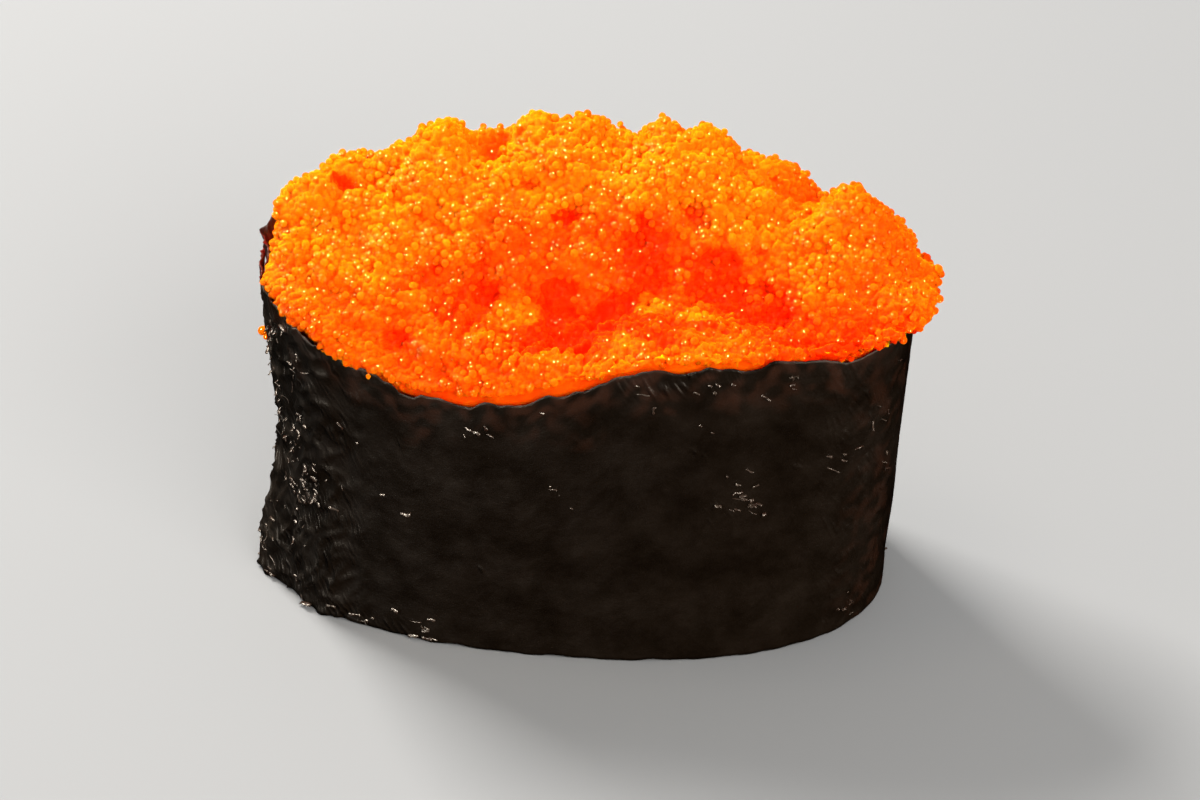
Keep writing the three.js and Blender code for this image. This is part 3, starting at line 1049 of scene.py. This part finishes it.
class Strip:
    """The strip of nori as a grid of points: columns along it from its outer end, and rows up it."""

    def __init__(self, settings):
        self.settings = settings
        angles, ways, reaches = wall_profile()
        loop = ways * reaches[WALL_HEIGHTS // 2][:, None]
        walked = np.concatenate([[0], np.cumsum(np.linalg.norm(np.roll(loop, -1, axis=0) - loop, axis=1))])
        self.perimeter = walked[-1]
        strip_length = self.perimeter + settings.lap_length
        self.shape = (
            int(strip_length / settings.grid_step) + 1,
            int(NORI_HIGH[2] / settings.grid_step) + 1,
        )
        self.along = np.linspace(0, strip_length, self.shape[0])
        self.up = np.linspace(0, 1, self.shape[1])
        flat = np.meshgrid(self.along, self.up * NORI_HIGH[2], indexing="ij")
        self.flat = np.stack([*flat, np.zeros(self.shape)], axis=-1)

        # The outer end leans: its foot lies further round the front than its top.
        lean = END_LEAN * rise(1 - self.along / LEAN_LENGTH, 0, 1)[:, None] * (1 - self.up)
        turn = (OUTER_END * self.perimeter + self.along[:, None] + lean) % self.perimeter
        round_plan = np.interp(turn, walked, np.append(angles, TURN))
        levels = np.linspace(0, 1, WALL_HEIGHTS)
        by_row = np.stack([np.interp(self.up, levels, column) for column in reaches.T], axis=1)
        reach = np.stack([
            np.interp(column, angles, row, period=TURN) for column, row in zip(round_plan.T, by_row)
        ], axis=1)
        self.inner = PLAN_MIDDLE * (1, 1, 0) + around(round_plan) * reach[:, :, None]
        self.tangent = unit(np.gradient(self.inner, axis=0))
        self.outward = self.tangent[..., [1, 0, 2]] * (1, -1, 0)

        self.at_end = np.clip(1 - self.along / END_LENGTH, 0, 1)[:, None]
        self.behind = hill((turn[:, -1] / self.perimeter - TORN_PLACE) / TORN_REACH)
        self.behind *= self.along > self.perimeter / 2
        self.left = rise(-self.inner[..., 0], 15 * MM, 22 * MM)

    def ripple(self, size, seed):
        """Smooth noise at all the points."""
        return ripple(self.flat.reshape(-1, 3), size, seed).reshape(self.shape)

    def edge_ripple(self, row, size, seed):
        """Smooth noise along the foot, which is row 0, or the rim, which is row -1."""
        return ripple(self.flat[:, row], size, seed)

    def offsets(self):
        """How far out from the wall's inner face each point lies."""
        settings = self.settings
        lapped = 1 - rise(self.along, settings.lap_length, settings.lap_length + CLIMB_LENGTH)
        lapped *= settings.thickness + LAP_GAP
        curl = self.at_end**1.5 * (FLARE * rise(1 - self.up, 0.6, 1) + 0.1 * MM)
        # Behind the outer end, the torn rim of the inner layer curls out unevenly.
        torn_out = (0.4 * MM + 0.8 * MM * self.edge_ripple(0, 1.1 * MM, 16)) * self.behind
        curl += torn_out[:, None] * self.up**7
        diagonal = self.flat.reshape(-1, 3) @ np.array([[0.8, 0.6, 0], [-0.6, 0.8, 0], [0, 0, 1]])
        folds = 1 - np.abs(ripple(diagonal / (1, 2.6, 1), 1.1 * MM, 5)).reshape(self.shape) * 2
        crinkles = settings.crinkle_depth * np.clip(folds, 0, 1) ** 2 * (0.12 + 0.88 * self.left)
        return lapped[:, None] + curl + BULGE * self.ripple(6 * MM, 2) + crinkles

    def heights(self, offsets):
        """The rim's height at each column, without its chips, and the height of each point."""
        top = self.inner[:, -1] + self.outward[:, -1] * offsets[:, -1:]
        rim = rim_height(top) + 0.8 * MM * self.edge_ripple(0, 0.9 * MM, 17) * self.behind
        rim -= TUCK * rise(self.along - self.perimeter, -1 * MM, 1 * MM)
        chips = self.edge_ripple(-1, 0.9 * MM, 11) * 0.16 * MM + self.edge_ripple(-1, 2.6 * MM, 12) * 0.2 * MM
        chips += 0.2 * MM * np.tanh(6 * self.edge_ripple(-1, 1.8 * MM, 18))
        foot = np.clip(0.15 * MM + 0.2 * MM * self.edge_ripple(0, 2 * MM, 13), 0, None)
        return rim, foot[:, None] + (rim + chips - foot)[:, None] * self.up

    def mesh(self, offsets, heights):
        """The closed sheet: an inner and an outer skin, which come together at the worn rim."""
        frayed = self.at_end * self.ripple(1.3 * MM, 15) * 0.35 * MM
        thickness = self.settings.thickness
        layers = []
        for skin in (thickness * (WORN_RIM * self.up**60), thickness):
            layer = self.inner + self.outward * (offsets + skin)[..., None] + self.tangent * frayed[..., None]
            layer[..., 2] = heights
            layers.append(layer.reshape(-1, 3))
        skins, border = thin_faces(*self.shape)
        mesh = new_mesh("nori_sheet", np.concatenate(layers), np.concatenate([skins, border]).tolist())
        mesh.polygons.foreach_set("use_smooth", np.arange(len(mesh.polygons)) < len(skins))
        return mesh

    def shades(self, rim, heights):
        """Where the sheet is stained, with painted sheen at the right end; where it is torn thin, painted red
        as lit through; and where it is crinkled.
        """
        under_rim = (rim[:, None] - heights) / MM
        high = heights / MM
        across = self.inner[..., 0] / MM
        front = rise(-self.inner[..., 1], 2 * MM, 8 * MM)
        fine = self.ripple(1.0 * MM, 21)
        blotch = self.ripple(3.5 * MM, 22)
        under_roe = front * np.clip(1.3 - under_rim / 3.5 + blotch, 0, 1) * rise(fine, -0.25, 0.45)
        # Lighter mottled patches at the right end: partly the sheet's mottling, partly painted sheen.
        right_end_sheen = 0.6 * rise(across, 20, 24.5) * rise(fine + 0.6 * blotch, -0.1, 0.6)
        # The torn tip, painted red as light through the thin edge.
        torn = hill((self.inner[..., 0] + 26 * MM) / (4 * MM)) * rise(self.inner[..., 1], -4 * MM, -2 * MM)
        torn *= np.clip(1.2 - under_rim / 2.5, 0, 1) * rise(fine, -0.9, 0.3)
        crinkled = [
            self.left * rise(blotch + fine * 0.5, -0.55, 0.2),
            0.8 * rise(across, 18, 23) * rise(blotch, -0.5, 0.2),
            front * hill((across - 8) / 9) * (1 - rise(under_rim, 1.5, 3)),
            front * hill((across + 18) / 8) * (1 - rise(high, 0.8, 2.5)),
        ]
        for x, z, reach in WRINKLES:
            away = np.hypot(across - x, high - z) / reach
            crinkled.append(front * hill(away) * rise(fine, -0.4, 0.1))
        return {
            "stain_and_sheen": np.maximum(under_roe, right_end_sheen),
            "torn": torn,
            "crinkled": np.max(crinkled, axis=0),
        }


class SUSHI_OT_wrap_nori(bpy.types.Operator):
    """Wrap the nori: one thin sheet on edge, lapped over itself, with creases and a ragged rim"""

    bl_idname = "sushi.wrap_nori"
    bl_label = "Wrap the Nori"

    def execute(self, context):
        settings = context.scene.sushi.nori
        strip = Strip(settings)
        offsets = strip.offsets()
        rim, heights = strip.heights(offsets)
        mesh = strip.mesh(offsets, heights)
        for name, shade in strip.shades(rim, heights).items():
            paint(mesh, name, np.tile(shade.ravel(), 2))
        paint(mesh, "sheet_place", np.tile(strip.flat.reshape(-1, 3) / MM, (2, 1)))
        finished("nori_sheet", mesh, nori_material(settings), "nori_band")
        return {"FINISHED"}


# Where flakes stand up from the nori: place round the plan (0.5 is -X and 0.75 is -Y), height, spread round
# and up, how far they lean over in degrees, and their number. Heights and spreads are in millimetres.
FLAKES = [
    (0.585, 13.0, 3.4, 3.4, 40, 46),
    (0.560, 17.0, 2.6, 4.0, 64, 28),
    (0.555, 23.5, 3.0, 2.2, 62, 24),
    (0.600, 21.5, 2.0, 2.0, 55, 12),
    (0.570, 4.0, 3.5, 2.2, 35, 28),
    (0.640, 1.2, 4.5, 0.7, 5, 28),
    (0.645, 17.0, 3.0, 4.0, 10, 7),
    (0.700, 14.0, 8.0, 6.0, 20, 4),
    (0.812, 27.3, 3.6, 0.9, 35, 14),
    (0.834, 15.9, 1.5, 0.7, 10, 14),
    (0.828, 21.4, 1.2, 1.6, 50, 8),
    (0.745, 24.5, 3.5, 2.5, 40, 6),
    (0.888, 19.4, 0.8, 0.8, 30, 5),
    (0.780, 10.0, 11.0, 6.0, 30, 3),
    (0.925, 2.4, 1.8, 0.8, 10, 7),
    (0.930, 24.0, 2.0, 4.0, 70, 5),
    (0.250, 14.0, 30.0, 8.0, 30, 40),
    (0.020, 14.0, 10.0, 8.0, 60, 14),
]
HANG, HANG_SPREAD = 42, 20  # how far flakes stand off from the wall, in degrees
LEAN_SPREAD = 18  # of the flakes' leans, in degrees
FLAKE_THICKNESS = 0.04 * MM
FLAKE_COLUMNS = 5
FLAKE_ROWS = 3
FLAKE_SEED = 11
TURN_STEP = 1 / 137  # how far round the plan a flake moves for each millimetre of spread
CLUMP_SPREAD = 0.8  # of the flakes round the middle of their clump, in millimetres
FLAKE_LEVELS = (0.5, 28.5)  # lowest and highest that a flake stands, in millimetres


def flake_shape(found, normal, lean, random):
    """The corners of a flake's two skins. It hangs by its top edge, and its free lower edge stands away, so
    that its face looks up."""
    steps = (np.linspace(-1, 1, FLAKE_COLUMNS), np.linspace(0, 1, FLAKE_ROWS))
    side, reach = np.meshgrid(*steps, indexing="ij")
    outward = unit(np.array(normal) * (1, 1, 0))
    level_way = np.array([-outward[1], outward[0], 0])
    hang = math.radians(random.normal(HANG, HANG_SPREAD))
    facing = unit(outward * math.cos(hang) + (0, 0, math.sin(hang)) + level_way * random.normal(0, 0.15))
    slant = math.radians(-lean + random.normal(0, LEAN_SPREAD))
    edge = level_way * math.cos(slant) + (0, 0, math.sin(slant))
    edge = unit(edge - facing * edge.dot(facing))
    down = np.cross(edge, facing)
    down *= -np.sign(down[2])
    half = min(0.2 * math.exp(random.normal(0.15, 0.6)), 0.6) * MM
    depth = min(0.16 * math.exp(random.normal(0.1, 0.4)), 0.35) * MM
    jag = random.uniform(0.4, 1.2, (FLAKE_COLUMNS, 1, 1))
    arch = facing * random.uniform(-0.3, 0.5) * half
    side, reach = side[..., None], reach[..., None]
    shape = side * edge * half + reach * jag * down * depth + side**2 * arch
    shape = np.array(found) + outward * 0.02 * MM + shape.reshape(-1, 3)
    return np.concatenate([shape + facing * FLAKE_THICKNESS, shape])


class SUSHI_OT_flake_nori(bpy.types.Operator):
    """Stand flakes up from the nori, where it is creased or torn"""

    bl_idname = "sushi.flake_nori"
    bl_label = "Flake the Nori"

    def execute(self, context):
        random = np.random.default_rng(FLAKE_SEED)
        tree = sheet_tree()
        shapes = []
        for share, level, spread, climb, lean, count in FLAKES:
            clumps = random.standard_normal((1 + count // 4, 2)) * (spread, climb)
            for _ in range(count):
                aside, above = clumps[random.integers(len(clumps))] + random.normal(0, CLUMP_SPREAD, 2)
                height = np.clip(level + above, *FLAKE_LEVELS) * MM
                found, normal = wall_spot(tree, TURN * (share + TURN_STEP * aside), height)
                if found is not None:
                    shapes.append(flake_shape(found, normal, lean, random))
        skins, border = thin_faces(FLAKE_COLUMNS, FLAKE_ROWS)
        faces = np.concatenate([skins, border]).tolist()
        mesh = joined_mesh("nori_flakes", shapes, faces)
        body = bmesh.new()
        body.from_mesh(mesh)
        bmesh.ops.recalc_face_normals(body, faces=body.faces)
        body.to_mesh(mesh)
        body.free()
        mesh.polygons.foreach_set("use_smooth", np.arange(len(mesh.polygons)) % len(faces) < len(skins))
        material = flake_material(context.scene.sushi.nori)
        finished("nori_flakes", mesh, material, "nori_band")
        return {"FINISHED"}


# ------------ the rice ------------

# Layers of separate grains, from the lowest: height of their middles and least distance between them.
GRAIN_LAYERS = [
    (1.15 * MM, 2.3 * MM),
    (1.9 * MM, 3.2 * MM),
]
GRAIN_TRIES = 2600  # spots tried in each layer
GRAIN_MARGIN = 1.2 * MM  # least distance from a grain's middle to the side of the bed
GRAIN_BEND = 12  # curve of a grain along its length, for each metre
CORE_STEP = 1.1 * MM  # size of the rice core's faces
LUMP_SIZE = 3.2 * MM  # of the core's lumps, which are as wide as grains
RICE_SEED = 3


def rice_core():
    """The body of the rice: the solid, sunk under the grains and lumpy like them."""
    mesh = remeshed(cad_mesh("rice_bed"), CORE_STEP, smoothings=2)
    places = mesh_values(mesh, "co")
    sink = 0.9 * MM - 0.4 * MM * mounds(places, LUMP_SIZE, 6)[:, None]
    places = places - mesh_values(mesh, "normal") * sink
    places[:, 2] = np.maximum(places[:, 2], 0.8 * MM)
    mesh.shade_smooth()
    place_vertices(mesh, places)
    return mesh


def grain_spots(tree, level, spacing, random):
    """Middles for the grains of one layer, inside the bed and clear of each other."""
    low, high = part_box("rice_bed")
    spots = []
    for _ in range(GRAIN_TRIES):
        spot = np.array([random.uniform(low.x, high.x), random.uniform(low.y, high.y), level])
        wall = tree.find_nearest(spot + (0, 0, 3 * MM))[3]
        inside = tree.ray_cast(spot, (0, 0, -1))[0] is not None
        if inside and wall > GRAIN_MARGIN and all(math.dist(spot, other) > spacing for other in spots):
            spots.append(spot)
    return spots


def grain_shape(corners, spot, settings, tree, random):
    """The corners of one grain: bent a little, turned its own way, and pressed into the bed's outline."""
    heading = random.uniform(0, TURN)
    tilt = random.normal(0, 0.12)
    size = random.uniform(0.9, 1.08, 3)
    halves = (settings.grain_length / 2, settings.grain_width / 2, settings.grain_width / 2.3)
    shape = corners[:, [2, 0, 1]] * size * halves
    shape[:, 1] += GRAIN_BEND * shape[:, 0] ** 2
    shape[:, 2] += tilt * shape[:, 0]
    sideways = [[math.cos(heading), math.sin(heading), 0], [-math.sin(heading), math.cos(heading), 0]]
    placed = shape @ np.array([*sideways, [0, 0, 1]]) + spot
    for index, place in enumerate(placed):
        found, normal, _, _ = tree.find_nearest(place)
        if (Vector(place) - found).dot(normal) > 0:
            placed[index] = found
    # Each grain is pressed flat at a height of its own, so that no two flat faces coincide.
    placed[:, 2] = np.maximum(placed[:, 2], random.uniform(0, 0.3) * MM)
    return placed


class SUSHI_OT_press_rice(bpy.types.Operator):
    """Press the rice: a core, and the separate grains that show underneath"""

    bl_idname = "sushi.press_rice"
    bl_label = "Press the Rice"

    def execute(self, context):
        settings = context.scene.sushi.rice
        random = np.random.default_rng(RICE_SEED)
        material = rice_material(settings)
        finished("rice_core", rice_core(), material, "rice_bed")
        tree = mesh_tree(cad_mesh("rice_bed"))
        corners, faces = unit_ball(bmesh.ops.create_uvsphere, u_segments=12, v_segments=10)
        grains = []
        for level, spacing in GRAIN_LAYERS:
            for spot in grain_spots(tree, level, spacing, random):
                grains.append(grain_shape(corners, spot, settings, tree, random))
        mesh = joined_mesh("rice_grains", grains, faces)
        finished("rice_grains", mesh, material, "rice_bed")
        return {"FINISHED"}


# ------------ the stage ------------

FLOOR_HALF = 1.2  # half of the floor's width
AIR_STRENGTH = 0.95
VIEW_SHIFT = Vector((1.09, -1.79, -1.8)) * MM  # from the sushi's middle to what the camera looks at
WHITE = (1.0, 1.0, 1.0)
# The lights: place, size, power in watts, and whether it gives only highlights or all but highlights.
LIGHTS = {
    "key_light": ((-0.30, 0.28, 0.42), 0.2, 7.5, False),
    "glint_light": ((-0.14, -0.02, 0.52), 0.14, 9.0, True),
    "low_light": ((-0.32, -0.40, 0.15), 0.06, 1.5, True),
    "side_light": ((-0.50, 0.06, 0.20), 0.12, 3.0, True),
    "right_light": ((0.42, -0.18, 0.13), 0.06, 1.4, True),
    "fill_light": ((0.35, -0.45, 0.35), 0.5, 5.0, False),
}


def aimed(thing, place, target):
    """Stands a light or the camera at a place and points it at a target."""
    thing.location = place
    thing.rotation_euler = (Vector(target) - Vector(place)).to_track_quat("-Z", "Y").to_euler()
    bpy.context.scene.collection.objects.link(thing)


def lay_floor(settings):
    """The floor, which doesn't show in the highlights."""
    corners = np.array([(-1, -1, 0), (1, -1, 0), (1, 1, 0), (-1, 1, 0)]) * FLOOR_HALF
    mesh = new_mesh("floor", corners, [(0, 1, 2, 3)])
    mesh.materials.append(paper_material(settings))
    floor = bpy.data.objects.new("floor", mesh)
    bpy.context.scene.collection.objects.link(floor)
    floor.visible_glossy = False


def stand_camera(settings, middle):
    """The camera, at its angle and distance."""
    look = middle + VIEW_SHIFT
    flat = math.cos(settings.elevation)
    way = Vector((
        math.sin(settings.azimuth) * flat, -math.cos(settings.azimuth) * flat, math.sin(settings.elevation)
    ))
    lens = bpy.data.cameras.new("camera")
    lens.angle = settings.field
    lens.clip_start = 10 * MM
    camera = bpy.data.objects.new("camera", lens)
    aimed(camera, look + way * settings.distance, look)
    bpy.context.scene.camera = camera


def hang_lights(settings, middle):
    """The lights, which are all aimed at the middle of the sushi."""
    for name, (place, size, power, highlights) in LIGHTS.items():
        lamp = bpy.data.lights.new(name, "AREA")
        lamp.size = size
        lamp.energy = power
        lamp.color = settings.warm[:3] if highlights else WHITE
        light = bpy.data.objects.new(name, lamp)
        light.visible_diffuse = not highlights
        light.visible_glossy = highlights
        aimed(light, place, middle)


def fill_air(settings):
    """The soft light from all round, which doesn't show in the highlights."""
    world = bpy.data.worlds.new("studio")
    world.use_nodes = True
    background = world.node_tree.nodes["Background"]
    background.inputs["Color"].default_value = settings.air
    background.inputs["Strength"].default_value = AIR_STRENGTH
    world.cycles_visibility.glossy = False
    bpy.context.scene.world = world


class SUSHI_OT_light_stage(bpy.types.Operator):
    """Set the stage: a plain pale floor, soft lights and the camera"""

    bl_idname = "sushi.light_stage"
    bl_label = "Light the Stage"

    def execute(self, context):
        settings = context.scene.sushi.stage
        middle = (CAD_LOW + CAD_HIGH) / 2
        lay_floor(settings)
        stand_camera(settings, middle)
        hang_lights(settings, middle)
        fill_air(settings)
        context.scene.view_settings.view_transform = "Standard"
        return {"FINISHED"}


# ------------ the panel ------------

# The operators that each group of settings belongs to.
GROUPS = {
    "rice": [SUSHI_OT_press_rice],
    "nori": [SUSHI_OT_wrap_nori, SUSHI_OT_flake_nori],
    "masago": [SUSHI_OT_heap_masago, SUSHI_OT_stick_strays],
    "stage": [SUSHI_OT_light_stage],
}


class SUSHI_PT_panel(bpy.types.Panel):
    """Lists the pieces with their sizes and colours"""

    bl_idname = "SUSHI_PT_panel"
    bl_label = "Masago Gunkan"
    bl_space_type = "VIEW_3D"
    bl_region_type = "UI"
    bl_category = "Sushi"

    def draw(self, context):
        for group, operators in GROUPS.items():
            box = self.layout.box()
            for operator in operators:
                box.operator(operator.bl_idname)
            settings = getattr(context.scene.sushi, group)
            for name in settings.bl_rna.properties.keys():
                if name not in ("name", "rna_type"):
                    box.prop(settings, name)


CLASSES = [
    MasagoSettings, NoriSettings, RiceSettings, StageSettings, SushiSettings,
    *itertools.chain(*GROUPS.values()), SUSHI_PT_panel,
]


def register():
    """Registers the classes and gives the scene its settings."""
    for kind in CLASSES:
        bpy.utils.register_class(kind)
    bpy.types.Scene.sushi = PointerProperty(type=SushiSettings)


def unregister():
    """Undoes what register does."""
    del bpy.types.Scene.sushi
    for kind in reversed(CLASSES):
        bpy.utils.unregister_class(kind)


def main():
    register()
    bpy.ops.sushi.press_rice()
    bpy.ops.sushi.wrap_nori()
    bpy.ops.sushi.flake_nori()
    bpy.ops.sushi.heap_masago()
    bpy.ops.sushi.stick_strays()
    bpy.ops.sushi.light_stage()


if __name__ == "__main__":
    main()
